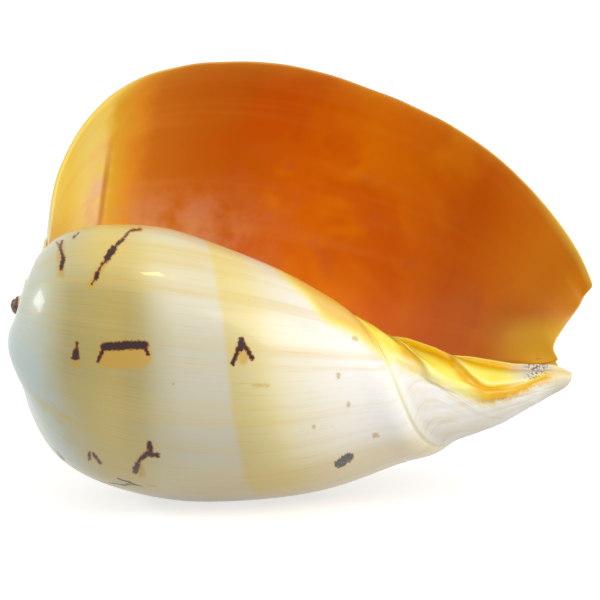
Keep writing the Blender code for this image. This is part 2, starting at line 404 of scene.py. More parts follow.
siphonEnd = {
    "from": 0.040,
    "outerPoints": 236,
    "channelPoints": 64,
    "stations": (16, 126),    # before and after the folds start
    "stationsMeet": (0.108, 0.110),
    "lap": 0.020,             # it runs under the wall, in turns
    "lapCut": 0.045,          # and less so beside the notch
    "lapCutAlong": (0.178, 0.186),
    "underWall": 0.0004,      # how deep it lies in the wall there
    "backHeight": 0.0039,     # how high the channel's back wall stands inside the whorl
    "backTurns": (-0.30, 0.0),
    "backOver": 0.008,        # and how far past that height it runs, in turns
    "channelWall": 0.0026,
    "channelFrom": 202.0,     # degrees round the axis
    "channelFull": (205.0, 250.0),
    "channelMiddle": 0.54,    # where its deepest line lies
    "channelLeast": 0.45,     # and the least share of the radius left under it
    "foldHeight": 0.0018,
    "foldBack": 0.30,         # each fold rises slowly on its upper side
    "foldFront": 0.090,       # and drops steeply on its lower side
    "callus": 0.0005,
    "keelHeight": 0.0006,     # the pale keel beside the fasciole
    "keelWidth": 0.0014,
    "growthRib": 0.00016,
    "crestAlong": (0.108, 0.122),      # where the crest comes to the heights below
    "crestWidth": 0.013,
    "faceFrom": 0.115,        # where the front face and its glaze start
    "faceHidden": 0.008,      # the edge stands this high before that, out of sight
    "faceRound": ((0.002, 0.024), (0.116, 0.136)),     # it's rounded past the ridge and along the axis
    "faceFade": 0.70,         # and less so towards the glaze edge
    "faceSearch": (40.0, 170.0),       # degrees in which the lower edge of the glaze is looked for
    "faceBack": -0.25,        # share of the face that lies behind the crest
    # height of the top of the pillar above the axis, without its folds
    "crest": ((0.112, 0.118, 0.124, 0.130, 0.1344, 0.1416, 0.152, 0.158, 0.166, 0.175, 0.181, 0.187, 0.196, 0.202),
              (0.0125, 0.0098, 0.0078, 0.0049, 0.0035, 0.0032, 0.0010, -0.0009, -0.0007, -0.0011, -0.0013, -0.0008,
               0.0003, -0.0002)),
    # each fold: (along the axis, share of the way from the crest to the glaze edge)
    "folds": (
        ((0.118, -0.10), (0.1344, 0.05), (0.1376, 0.40), (0.1424, 0.68), (0.1455, 0.76), (0.1507, 0.92), (0.160, 0.97)),
        ((0.131, -0.12), (0.1460, -0.02), (0.1575, 0.04), (0.1617, 0.33), (0.1656, 0.52), (0.1695, 0.62),
         (0.1743, 0.66), (0.186, 0.62)),
        ((0.155, -0.12), (0.165, -0.02), (0.175, 0.0), (0.186, 0.02), (0.202, 0.05)),
    ),
}


# How far the folds stand up, how deep the gold is below each (the glaze's own gold, darkened below the crest as painted
# shade), and a painted highlight along each crest.
def foldShape(x, v):
    s = siphonEnd
    rise, gold, line = np.zeros_like(v), np.zeros_like(v), np.zeros_like(v)
    for path in s["folds"]:
        xs, vs = zip(*path)
        grow = ease(xs[0] - 0.010, xs[0] + 0.004, x) * (1.0 - ease(xs[-1] - 0.010, xs[-1] + 0.004, x))
        d = v - np.interp(x, xs, vs)
        rise = np.maximum(rise, grow * np.exp(-(d / np.where(d < 0.0, s["foldBack"], s["foldFront"])) ** 2))
        # the glaze's gold below the crest, with painted shade in it
        gold = np.maximum(gold, grow * ease(0.01, 0.07, d) * (1.0 - ease(0.22, 0.50, d)))
        # a painted highlight along the crest
        line = np.maximum(line, grow * np.exp(-((d + 0.005) / 0.035) ** 2))
    return rise, gold, line


def ringTurns(top, count):   # closer points on the front, where the folds are
    fine = np.linspace(top - 1.0, top, 2001)
    angle = angleAt(fine)
    weight = 1.0
    for mid in (85.0, -275.0, 445.0):    # the same direction a turn back and a turn on
        weight = weight + 2.2 * np.exp(-((angle - mid) / 75.0) ** 4)
    total = np.concatenate([[0.0], np.cumsum(0.5 * (weight[1:] + weight[:-1]))])
    return np.interp(np.linspace(0.0, total[-1], count, endpoint=False), total, fine)


def siphonRing(x):
    s = siphonEnd
    count = s["outerPoints"]
    level = s["backHeight"]
    notchHeights, notchAlongs = (row[spiral["notchDeepest"]::-1] for row in spiral["notchEdge"])
    inNotch = x > notchAlongs[0]
    if inNotch:
        level = float(np.interp(x, notchAlongs, notchHeights))
    backTurns = np.linspace(*s["backTurns"], 121)
    backHeights = fascioleRadius(x, backTurns) * np.cos(np.radians(angleAt(backTurns)))
    backTop = float(np.interp(level, np.maximum.accumulate(backHeights), backTurns)) + s["backOver"]
    lap = s["lap"] - s["lapCut"] * float(ease(*s["lapCutAlong"], x))
    top = min(float(ridgeTurn(x)) + lap, backTop)
    turns = ringTurns(top, count)
    radii = fascioleRadius(x, turns)
    pastRidge = x - wallPoint(turns, ridgeAlong, ridgeOut)[0]
    angle = angleAt(turns)

    # the part that runs under the wall follows it and stays hidden in it
    alongs, outs = zip(*spiral["profile"][2:])
    under = x / growth["alongPerTurn"] ** turns
    wallRadius = wallPoint(turns, under, np.interp(under, alongs, outs))[1] - s["underWall"]
    radii = np.where((pastRidge < 0.0) & (turns > top - 0.5), np.maximum(radii, wallRadius), radii)

    # growth rests and the keel
    keel = s["keelHeight"] * np.exp(-((pastRidge - 0.0010) / s["keelWidth"]) ** 2) * ease(0.05, 0.10, x)
    rib = s["growthRib"] * noise1(turns * 26.0, 5) * ease(0.002, 0.006, pastRidge)
    ring = around(np.full(count, x), radii + (keel + rib) * ease(0.0, 0.012, radii), turns)

    # the top of the pillar is brought to its height
    crest = float(fascioleRadius(x, np.array(turnAt(0.0))))
    lower = (float(np.interp(x, *s["crest"])) - crest) * float(ease(*s["crestAlong"], x))
    ring[:, 2] += lower * np.exp(-(radii / s["crestWidth"]) ** 4)
    crest += lower

    # the front face, from the crest of the pillar down to the edge of the glaze
    edge = float(glazeEdge(x)) if x > s["faceFrom"] else s["faceHidden"]
    fine = np.linspace(*s["faceSearch"], 131)
    heights = fascioleRadius(x, turnAt(fine)) * np.cos(np.radians(fine))
    footAngle = float(np.interp(-edge, -heights, fine))
    footTurn = turnAt(footAngle)
    foot = around(np.array(x), fascioleRadius(x, np.array(footTurn)), footTurn)
    v = angle / footAngle
    front = (v > s["faceBack"]) & (v < 1.0) & (turns < top - 0.02)
    pastLimits, alongLimits = s["faceRound"]
    blend = ease(*pastLimits, pastRidge) * ease(*alongLimits, x) * ease(s["faceBack"], 0.05, v) * front
    blend = blend * (1.0 - ease(s["faceFade"], 1.0, v))
    arc = np.stack([np.full(count, x), foot[1] * np.sin(np.maximum(v, 0.0) * math.pi / 2.0),
                    crest + (foot[2] - crest) * (1.0 - np.cos(v * math.pi / 2.0))], -1)
    p = ring * (1.0 - blend[:, None]) + arc * blend[:, None]
    outward = np.stack([0.0 * v, p[:, 1], p[:, 2] + 0.010], -1)
    outward /= np.linalg.norm(outward, axis=1)[:, None] + 1e-9
    # gold carries painted shade below each fold, line a painted highlight along each crest
    fold, gold, line = (f * front for f in foldShape(x, v))
    rise = s["foldHeight"] * fold + s["callus"] * ease(0.0, 0.06, 1.0 - v) * front
    p = p + outward * (rise * ease(0.0, 0.012, pastRidge + 0.006))[:, None]
    glaze = np.where(v < 0.0, 0.05, np.where(angle > 200.0, -0.05, p[:, 2] - edge))

    # the channel behind the pillar, from the wall back to the crest
    endAngle = angleAt(top)
    deep = float(ease(*s["channelFull"], endAngle))
    midTurn = turnAt(s["channelFrom"] + (endAngle - s["channelFrom"]) * s["channelMiddle"])
    midRadius = float(fascioleRadius(x, np.array(midTurn)))
    midRadius = max(midRadius - s["channelWall"], midRadius * s["channelLeast"])
    low = around(np.array(x), np.array(midRadius), midTurn)
    straight = (p[0] + p[-1]) / 2.0
    mid = straight + (low - straight) * deep
    control = 2.0 * mid - straight
    q = np.linspace(0.0, 1.0, s["channelPoints"] + 2)[1:-1, None]
    channel = (1.0 - q) ** 2 * p[-1] + 2.0 * q * (1.0 - q) * control + q ** 2 * p[0]
    channel[:, 0] = x
    # it keeps inside the outer wall
    channelAngle = np.degrees(np.arctan2(-channel[:, 1], channel[:, 2])) % 360.0
    outer = np.interp(turnAt(channelAngle), turns, np.hypot(p[:, 1], p[:, 2]))
    limit = outer - s["channelWall"] * ease(0.0, 0.45, q[:, 0]) * ease(185.0, 215.0, channelAngle)
    kept = np.minimum(1.0, limit / np.maximum(np.hypot(channel[:, 1], channel[:, 2]), 1e-6))
    channel[:, 1:] *= np.where(channelAngle > 185.0, kept, 1.0)[:, None]

    def both(a, value):
        return np.concatenate([a, np.full(s["channelPoints"], value)])

    everything = np.concatenate([p, channel])
    if inNotch:
        everything[:, 2] = np.minimum(everything[:, 2], level)
    inChannel = np.concatenate([1.0 - ease(0.004, 0.014, top - turns), 1.0 - ease(0.80, 1.0, q[:, 0])])
    past, glaze, gold, line = both(pastRidge, 0.03), both(glaze, 0.05), both(gold, 0.0), both(line, 0.0)
    return everything, both(turns, top), past, glaze, gold, line, inChannel


def buildSiphonEnd():
    s = siphonEnd
    count = s["outerPoints"] + s["channelPoints"]
    stations = np.concatenate([np.linspace(s["from"], s["stationsMeet"][0], s["stations"][0]),
                               np.linspace(s["stationsMeet"][1], spiral["tip"], s["stations"][1])])
    deselectAll()
    bpy.ops.mesh.primitive_circle_add(vertices=count, radius=spiral["pillarRadius"], fill_type="NOTHING",
                                      location=(stations[0], 0.0, 0.0), rotation=(0.0, math.pi / 2.0, 0.0))
    ob = bpy.context.object
    ob.name = "siphon_end"
    bpy.ops.object.transform_apply(location=True, rotation=True, scale=True)
    bpy.ops.object.mode_set(mode="EDIT")
    bpy.ops.mesh.select_all(action="SELECT")
    for step in np.diff(stations):
        bpy.ops.mesh.extrude_region_move(TRANSFORM_OT_translate={"value": (step, 0.0, 0.0)})
    bpy.ops.mesh.edge_face_add()          # the tip is closed, then the inner end
    bpy.ops.mesh.poke()
    bpy.ops.mesh.select_all(action="DESELECT")
    bpy.ops.object.mode_set(mode="OBJECT")
    me = ob.data
    for v in me.vertices[:count]:
        v.select = True
    bpy.ops.object.mode_set(mode="EDIT")
    bpy.ops.mesh.edge_face_add()
    bpy.ops.mesh.poke()
    bpy.ops.object.mode_set(mode="OBJECT")

    # each ring takes its own outline
    co = coords(me)
    grown, cover, tint = np.zeros_like(co), np.zeros_like(co), np.zeros_like(co)
    for k, x in enumerate(stations):
        p, turns, past, glaze, gold, line, inChannel = siphonRing(float(x))
        rows = slice(k * count, (k + 1) * count)
        co[rows] = p
        grown[rows] = np.stack([turns, x * spiral["bandPerTurn"] ** (-turns) * 10.0, past * 10.0], -1)
        # cover holds the glaze, the gold with its painted shade, and the painted crest highlight
        cover[rows] = np.stack([np.clip(glaze, -0.05, 0.05) * 100.0, gold, line], -1)
        tint[rows, 0] = inChannel
    for i, k in ((len(stations) * count, len(stations) - 1), (len(stations) * count + 1, 0)):
        rows = slice(k * count, (k + 1) * count)
        for a in (co, grown, cover, tint):
            a[i] = a[rows].mean(0)
    setCoords(me, co)
    storeVector(me, "grown", grown)
    storeVector(me, "cover", cover)
    storeVector(me, "tint", tint)
    faceOutwards(ob)
    me.materials.append(siphonSkin.mat)
    return ob


# First whorl: the brown bud at the apex.

bud = {
    "radius": 0.0036, "along": 0.0020, "segments": 48, "rings": 32,
    "groove": 0.00035,
    "coil": 1.4,              # turns of the groove from its middle to its edge
}


def buildBud():
    deselectAll()
    bpy.ops.mesh.primitive_uv_sphere_add(segments=bud["segments"], ring_count=bud["rings"], radius=bud["radius"],
                                         location=(0.0, 0.0, 0.0))
    ob = bpy.context.object
    ob.name = "first_whorl"
    co = coords(ob.data)
    co = co[:, [2, 1, 0]] * np.array([-1.0, 1.0, 1.0])       # pole towards the apex
    turn = np.arctan2(co[:, 1], co[:, 2]) / roundTurn
    out = np.hypot(co[:, 1], co[:, 2]) / bud["radius"]
    groove = np.cos(roundTurn * (out * bud["coil"] - turn)) * ease(0.1, 0.5, out)
    co *= (1.0 - bud["groove"] / bud["radius"] * np.clip(groove, 0.0, 1.0) ** 2)[:, None]
    co[:, 0] += bud["along"]
    setCoords(ob.data, co)
    faceOutwards(ob)
    ob.data.materials.append(budSkin.mat)
    return ob


def srgb(r, g, b):
    def linear(c):
        return c / 12.92 if c <= 10.0 / 255.0 else ((c + 0.055) / 1.055) ** 2.4
    return tuple(linear(c / 255.0) for c in (r, g, b)) + (1.0,)


class Board:   # short ways to add nodes to one material
    def __init__(self, tree):
        self.nodes, self.links = tree.nodes, tree.links

    def put(self, socket, value):
        if isinstance(value, bpy.types.NodeSocket):
            self.links.new(value, socket)
        elif value is not None:
            socket.default_value = value

    def math(self, op, a, b=None, c=None, clamp=False):
        n = self.nodes.new("ShaderNodeMath")
        n.operation, n.use_clamp = op, clamp
        for socket, value in zip(n.inputs, (a, b, c)):
            self.put(socket, value)
        return n.outputs[0]

    def times(self, first, *others):
        for value in others:
            first = self.math("MULTIPLY", first, value)
        return first

    def swing(self, noise, width):   # noise about 0 instead of a half
        return self.times(self.math("SUBTRACT", noise, 0.5), width)

    def vec(self, op, a, b=None, scale=None):
        n = self.nodes.new("ShaderNodeVectorMath")
        n.operation = op
        self.put(n.inputs[0], a)
        if b is not None:
            self.put(n.inputs[1], b)
        if scale is not None:
            self.put(n.inputs["Scale"], scale)
        return n.outputs["Value"] if op in ("LENGTH", "DOT_PRODUCT", "DISTANCE") else n.outputs["Vector"]

    def mix(self, factor, a, b, blend="MIX"):
        n = self.nodes.new("ShaderNodeMix")
        n.data_type, n.blend_type = "RGBA", blend
        self.put(n.inputs["Factor"], factor)
        self.put(n.inputs["A"], a)
        self.put(n.inputs["B"], b)
        return n.outputs["Result"]

    def mixVector(self, factor, a, b):
        n = self.nodes.new("ShaderNodeMix")
        n.data_type = "VECTOR"
        self.put(n.inputs["Factor"], factor)
        self.put(n.inputs[4], a)
        self.put(n.inputs[5], b)
        return n.outputs[1]

    def between(self, value, low, high):
        n = self.nodes.new("ShaderNodeMapRange")
        n.interpolation_type = "SMOOTHSTEP"
        self.put(n.inputs["Value"], value)
        n.inputs["From Min"].default_value, n.inputs["From Max"].default_value = low, high
        return n.outputs["Result"]

    # Where all the limits hold. A limit is a field, where it starts and where it's full,
    # or a field alone that is a mask as it stands.
    def mask(self, fields, limits):
        return self.times(*(self.between(fields[name], *span) if span else fields[name] for name, *span in limits))

    def paint(self, colour, patches, tones, fields):   # each patch: tone, strength, blend, limits
        for tone, strength, blend, *limits in patches:
            colour = self.mix(self.times(self.mask(fields, limits), strength), colour, tones[tone], blend)
        return colour

    def ramp(self, value, stops):   # each stop: place, red, green, blue
        n = self.nodes.new("ShaderNodeValToRGB")
        e = n.color_ramp.elements
        for stop, (at, *colour) in ((e[0], stops[0]), (e[1], stops[-1])):
            stop.position, stop.color = at, srgb(*colour)
        for at, *colour in stops[1:-1]:
            e.new(at).color = srgb(*colour)
        self.put(n.inputs["Fac"], value)
        return n.outputs["Color"]

    def noise(self, vector, scale, detail=2.0, rough=0.5, warp=0.0, out="Fac"):
        n = self.nodes.new("ShaderNodeTexNoise")
        for name, value in (("Scale", scale), ("Detail", detail), ("Roughness", rough), ("Distortion", warp),
                            ("Vector", vector)):
            self.put(n.inputs[name], value)
        return n.outputs[out]

    def shaken(self, vector, scale, detail, width):   # moved about in x and z
        off = self.vec("SUBTRACT", self.noise(vector, scale, detail, out="Color"), (0.5, 0.5, 0.5))
        return self.vec("MULTIPLY", off, (width, 0.0, width))

    def attribute(self, name):
        n = self.nodes.new("ShaderNodeAttribute")
        n.attribute_name = name
        return n.outputs["Vector"]

    def split(self, vector):
        n = self.nodes.new("ShaderNodeSeparateXYZ")
        self.put(n.inputs[0], vector)
        return n.outputs[0], n.outputs[1], n.outputs[2]

    def join(self, x, y, z):
        n = self.nodes.new("ShaderNodeCombineXYZ")
        for socket, value in zip(n.inputs, (x, y, z)):
            self.put(socket, value)
        return n.outputs[0]

    def objectPlace(self):
        return self.nodes.new("ShaderNodeTexCoord").outputs["Object"]

    def bump(self, height, strength, distance):
        n = self.nodes.new("ShaderNodeBump")
        n.inputs["Strength"].default_value = strength
        n.inputs["Distance"].default_value = distance
        self.put(n.inputs["Height"], height)
        return n.outputs["Normal"]

    def seen(self):   # 1 where it's looked at, mirrored or seen through glass, 0 for the light it gives
        rays = self.nodes.new("ShaderNodeLightPath").outputs
        either = self.math("MAXIMUM", rays["Is Camera Ray"], rays["Is Glossy Ray"])
        return self.math("MAXIMUM", either, rays["Is Transmission Ray"])


class Skin(Board):   # one finish of the shell
    def __init__(self, name, roughness, coat=0.0, specular=0.5):
        self.mat = bpy.data.materials.new(name)
        self.mat.use_nodes = True
        super().__init__(self.mat.node_tree)
        self.shader = self.nodes["Principled BSDF"].inputs
        for socket, value in (("Roughness", roughness), ("Coat Weight", coat), ("Coat Roughness", 0.05),
                              ("Specular IOR Level", specular)):
            self.shader[socket].default_value = value

    def finish(self, colour, rough, height, strength, distance):
        self.put(self.shader["Base Color"], colour)
        self.put(self.shader["Roughness"], rough)
        self.put(self.shader["Normal"], self.bump(height, strength, distance))


def strokeGroup():   # distance from a point to a straight stroke, less half its width
    tree = bpy.data.node_groups.new("strokeReach", "ShaderNodeTree")
    for name, kind in (("Point", "NodeSocketVector"), ("From", "NodeSocketVector"), ("To", "NodeSocketVector"),
                       ("Half", "NodeSocketFloat")):
        tree.interface.new_socket(name=name, in_out="INPUT", socket_type=kind)
    tree.interface.new_socket(name="Reach", in_out="OUTPUT", socket_type="NodeSocketFloat")
    b = Board(tree)
    given, result = tree.nodes.new("NodeGroupInput"), tree.nodes.new("NodeGroupOutput")
    off = b.vec("SUBTRACT", given.outputs["Point"], given.outputs["From"])
    line = b.vec("SUBTRACT", given.outputs["To"], given.outputs["From"])
    share = b.math("DIVIDE", b.vec("DOT_PRODUCT", off, line), b.vec("DOT_PRODUCT", line, line), clamp=True)
    across = b.vec("LENGTH", b.vec("SUBTRACT", off, b.vec("SCALE", line, scale=share)))
    tree.links.new(b.math("SUBTRACT", across, given.outputs["Half"]), result.inputs["Reach"])
    return tree


def strokeField(b, point, strokes):   # the least reach of all the strokes: below 0 is inside one
    least = None
    for x0, z0, x1, z1, half in strokes:
        n = b.nodes.new("ShaderNodeGroup")
        n.node_tree = strokeReach
        b.put(n.inputs["Point"], point)
        n.inputs["From"].default_value = (x0, 0.0, z0)
        n.inputs["To"].default_value = (x1, 0.0, z1)
        n.inputs["Half"].default_value = half
        least = n.outputs[0] if least is None else b.math("MINIMUM", least, n.outputs[0])
    return least


# millimetres from the apex, looking square on to the belly: x0, z0, x1, z1, half width
marks = {
    "brown": (
        (17.2, 22.9, 16.6, 20.6, 0.30), (16.6, 20.6, 17.9, 17.0, 0.34), (17.9, 17.0, 17.2, 13.2, 0.55),
        (15.2, 22.6, 16.9, 20.6, 0.10),
        (22.9, 25.8, 21.2, 24.0, 0.10),
        (45.4, 27.3, 41.4, 26.5, 0.22), (41.4, 26.5, 39.4, 23.9, 0.20), (39.2, 23.4, 37.3, 21.9, 0.46),
        (36.9, 21.3, 35.6, 19.9, 0.24), (35.9, 20.2, 33.6, 16.8, 0.88), (33.3, 16.0, 31.7, 14.4, 0.26),
        (31.5, 14.2, 30.6, 12.0, 0.14), (30.2, 11.4, 29.8, 9.6, 0.62), (29.2, 8.8, 28.2, 7.4, 0.08),
        (23.0, -13.3, 22.7, -18.2, 0.28), (22.7, -16.6, 22.5, -18.6, 0.95), (21.2, -18.8, 23.6, -18.8, 0.30),
        (32.9, -14.9, 40.0, -14.5, 1.30), (40.0, -14.4, 47.0, -14.2, 1.35), (46.8, -14.0, 48.4, -17.5, 0.42),
        (32.8, -15.0, 30.6, -19.8, 0.45),
        (81.7, -12.6, 78.6, -21.0, 0.55), (81.7, -12.6, 85.6, -19.1, 0.55), (81.7, -12.4, 81.5, -15.6, 0.85),
        (27.2, -53.0, 27.0, -55.4, 0.28), (28.5, -53.4, 31.0, -56.7, 0.34),
        (48.7, -49.6, 49.3, -52.2, 0.75), (47.6, -53.3, 51.6, -53.7, 0.60), (48.2, -52.8, 45.8, -55.0, 0.55),
        (45.4, -55.1, 44.2, -57.4, 0.40), (44.2, -57.4, 43.7, -59.5, 0.85),
        (35.2, -64.4, 38.2, -65.1, 1.00), (38.2, -65.1, 41.8, -66.0, 1.20), (41.8, -66.0, 45.0, -67.4, 0.90),
    ),
    "amber": (
        (16.9, 21.9, 17.2, 11.0, 1.2), (35.9, 20.2, 27.6, 6.6, 1.0), (22.2, -18.6, 22.8, -21.6, 1.2),
        (34.6, -18.3, 45.4, -18.1, 4.3), (81.9, -14.5, 82.3, -19.3, 1.7),
        (44.8, -58.0, 45.8, -60.4, 1.3), (49.0, -51.5, 44.8, -55.8, 0.9), (86.1, -28.6, 91.1, -28.6, 0.30),
    ),
    "scars": (
        (116.6, -57.0, 120.2, -54.6, 1.5),
    ),
    "stains": (
        (107.6, -43.6, 107.6, -43.5, 0.5), (129.2, -46.8, 130.2, -46.8, 0.55), (122.0, -11.9, 122.8, -12.1, 0.6),
        (116.3, -24.8, 116.4, -25.8, 0.45), (119.9, -35.3, 120.0, -36.0, 0.4), (57.4, -28.2, 57.4, -28.1, 0.25),
    ),
}

outsideTone = {
    # place is the band coordinate over 240 mm
    "bands": (
        (0.000, 222, 228, 214), (0.055, 218, 222, 200), (0.105, 212, 208, 170), (0.150, 212, 200, 150),
        (0.210, 216, 200, 136), (0.260, 222, 202, 132), (0.310, 224, 204, 136), (0.345, 228, 212, 154),
        (0.390, 234, 226, 190), (0.450, 236, 230, 204), (0.566, 234, 228, 204), (0.580, 238, 220, 152),
        (0.660, 241, 226, 164), (0.720, 243, 233, 200), (0.800, 246, 240, 224), (0.880, 249, 246, 240),
        (1.000, 248, 246, 240),
    ),
    # the shell's olive tone on the left front of the belly, darkened there as painted shade
    "olive": srgb(222, 217, 192),
    # painted shade: a plain grey that darkens the lower front of the belly
    "dim": srgb(230, 230, 230),
    # the shell's grey-white on the lower left, lightened and blued as painted light of the window lamp
    "cool": srgb(210, 228, 231),
    # the shell's yellow on the upper belly, deepened as painted light where the top faces the lamps
    "sunny": srgb(244, 214, 92),
    # painted shade: a warm darkening on the underside of the belly
    "under": srgb(249, 237, 208),
    "yellowLine": srgb(226, 194, 100),
    "greyLine": srgb(200, 206, 200),
    "brown": srgb(48, 12, 5),
    "brownEdge": srgb(128, 44, 8),
    "amber": srgb(210, 164, 56),
    "callus": srgb(248, 232, 214),
    "scar": srgb(60, 68, 76),
    "stain": srgb(190, 152, 78),
    "deepIn": srgb(232, 130, 30),
    # each patch: tone, strength, blend, then a field with where it starts and where it's full
    "patches": (
        # the belly: painted shade on its lower front and underside and painted light on its left and top, over the
        # shell's own olive, grey-white and yellow tones
        # painted shade over the lower front
        ("dim", 1.0, "MULTIPLY", ("turn", -0.74, -0.65), ("turn", -0.46, -0.54), ("band", 0.26, 0.36),
         ("band", 0.72, 0.58)),
        # olive tone and painted shade on the left front
        ("olive", 1.0, "MULTIPLY", ("turn", -0.78, -0.70), ("turn", -0.52, -0.64), ("band", 0.08, 0.17),
         ("band", 0.46, 0.30)),
        # painted light of the blue window on the lower left, over the grey-white
        ("cool", 0.75, "MIX", ("turn", -0.72, -0.58), ("turn", -0.36, -0.46), ("slant", 0.26, 0.13),
         ("wander", -0.30, 0.12)),
        # painted light on the top of the belly, over its yellow
        ("sunny", 0.50, "MIX", ("turn", -0.70, -0.83), ("band", 0.12, 0.26), ("band", 0.78, 0.52),
         ("wander", -0.26, 0.10)),
        # painted shade on the underside
        ("under", 1.0, "MULTIPLY", ("turn", -0.53, -0.46), ("band", 0.30, 0.50)),
        # growth lines
        ("yellowLine", 0.36, "MIX", ("broadLine", 0.48, 0.72)),
        ("greyLine", 0.20, "MIX", ("fineLine", 0.52, 0.74)),
        ("yellowLine", 0.20, "MULTIPLY", ("fineLine", 0.45, 0.28)),
        # brown marks with their amber borders
        ("amber", 0.72, "MIX", ("amber", 1.1, -0.9), ("onBelly",)),
        ("amber", 0.55, "MIX", ("brown", 0.9, 0.05), ("onBelly",)),
        ("brownEdge", 0.85, "MIX", ("brown", 0.55, 0.05), ("onBelly",)),
        ("brown", 1.0, "MIX", ("brown", 0.16, -0.16), ("onBelly",)),
        # stains, scars and pits
        ("stain", 0.65, "MIX", ("stains", 0.7, -0.3), ("inFront",)),
        ("scar", 0.9, "MIX", ("scarred",)),
        ("stain", 0.35, "MIX", ("pits", 0.71, 0.80)),
        # golden glaze where the pillar's callus laps over the belly, and a pale callus along the suture
        ("glaze", 0.85, "MIX", ("glazed", -0.16, 0.30)),
        ("callus", 0.85, "MIX", ("reach", 0.15, 0.075)),
        ("deepIn", 1.0, "MIX", ("turn", -0.975, -1.02), ("reach", 0.58, 0.76)),
    ),
    "scarLimits": (("scars", 0.4, -0.1), ("inFront",), ("speck", 0.22, 0.46)),
}
glazeTone = {
    "pale": srgb(252, 235, 88), "gold": srgb(243, 192, 3), "deep": srgb(230, 166, 3), "soft": srgb(254, 246, 180),
    "line": srgb(254, 246, 170), "white": srgb(216, 217, 211), "tip": srgb(238, 226, 180), "brown": srgb(120, 52, 26),
    # deep gold in the hollow below each fold, the glaze's own gold made darker under the crest as painted shade, pale
    # on its back, and a painted highlight along its crest
    "patches": (
        ("gold", 1.0, "MIX", ("gold",)),
        # deeper gold where the gold is strongest: more painted shade under the crest
        ("deep", 0.55, "MIX", ("gold", 0.55, 1.0), ("cloud", 0.38, 0.62)),
        ("soft", 0.65, "MIX", ("cover", 0.62, 0.20), ("px", 172.0, 158.0)),
        ("deep", 0.85, "MIX", ("cover", 0.46, 0.20), ("px", 160.0, 178.0)),
        ("white", 0.9, "MIX", ("px", 174.0, 187.0), ("cover", 0.34, 0.56)),
        # painted highlight along each crest
        ("line", 0.50, "MIX", ("line",)),
        ("tip", 0.8, "MIX", ("px", 190.0, 195.0)),
        ("brown", 0.85, "MIX", ("px", 182.0, 186.0), ("fleck", 0.48, 0.58), ("px", 194.0, 190.0),
         ("cover", 0.30, 0.46)),
    ),
}


# Object place turned so that x and z are millimetres from the apex, square on to the belly.
def squareOn(b):
    n = b.nodes.new("ShaderNodeMapping")
    n.vector_type = "TEXTURE"
    n.inputs["Location"].default_value = restShift
    n.inputs["Rotation"].default_value = (math.radians(-growth["roll"]), 0.0, 0.0)
    n.inputs["Scale"].default_value = (0.001, 0.001, 0.001)
    b.put(n.inputs["Vector"], b.objectPlace())
    return n.outputs["Vector"]


def dressOutside():
    b = outsideSkin
    turn, band, reach = b.split(b.attribute("grown"))
    cover = b.split(b.attribute("cover"))[0]
    place = squareOn(b)
    px, _, pz = b.split(place)

    # the colour bands wander a little, and slant on the older face of the belly
    wander = b.swing(b.noise(place, 0.05), 1.0)
    bandAt = b.math("ADD", b.math("DIVIDE", band, 2.4), b.times(wander, 0.014))
    slant = b.math("MULTIPLY_ADD", b.between(turn, -0.50, -0.62), 0.11, bandAt)

    # growth lines run along the shell, side by side round it
    lineSpace = b.join(b.times(turn, 100.0), b.times(reach, 0.55), 0.0)
    fineLine = b.noise(lineSpace, 5.4, 3.0, 0.6)
    broadLine = b.noise(lineSpace, 0.42, 2.0, 0.55)

    # marks: as they lie on the belly, and a second run of them round the back
    backZ = b.math("FRACT", b.math("DIVIDE", b.math("ADD", turn, 0.45), 0.21))
    backPlace = b.join(b.times(band, 53.0), 0.0, b.math("SUBTRACT", 25.0, b.times(backZ, 92.0)))
    backPlace = b.vec("ADD", backPlace, b.shaken(place, 0.09, 2.0, 11.0))
    flat = b.mixVector(b.math("GREATER_THAN", turn, -0.46), b.join(px, 0.0, pz), backPlace)
    shaken = b.vec("ADD", flat, b.shaken(flat, 0.95, 3.0, 1.7))

    fields = {
        "turn": turn, "band": bandAt, "reach": reach, "slant": slant, "wander": wander,
        "fineLine": fineLine, "broadLine": broadLine,
        "onBelly": b.math("GREATER_THAN", turn, -1.01), "inFront": b.math("LESS_THAN", turn, -0.46),
        "speck": b.noise(place, 1.3, 3.0, 0.7), "pits": b.noise(place, 0.9),
        "glazed": b.math("ADD", cover, b.swing(b.noise(place, 0.32, 2.0, 0.6), 0.24)),
    }
    for name, strokes in marks.items():
        fields[name] = strokeField(b, shaken, strokes)
    scarred = fields["scarred"] = b.mask(fields, outsideTone["scarLimits"])
    glaze = b.mix(b.between(cover, 0.10, 0.50), glazeTone["pale"], glazeTone["gold"])
    colour = b.ramp(bandAt, outsideTone["bands"])
    colour = b.paint(colour, outsideTone["patches"], {**outsideTone, "glaze": glaze}, fields)

    rough = b.math("ADD", b.math("ADD", 0.20, b.times(fineLine, 0.22)), b.times(scarred, 0.3))
    height = b.math("ADD", b.times(fineLine, 0.5), b.times(broadLine, 0.8))
    b.finish(colour, rough, b.math("SUBTRACT", height, b.times(scarred, 1.4)), 0.35, 0.00022)


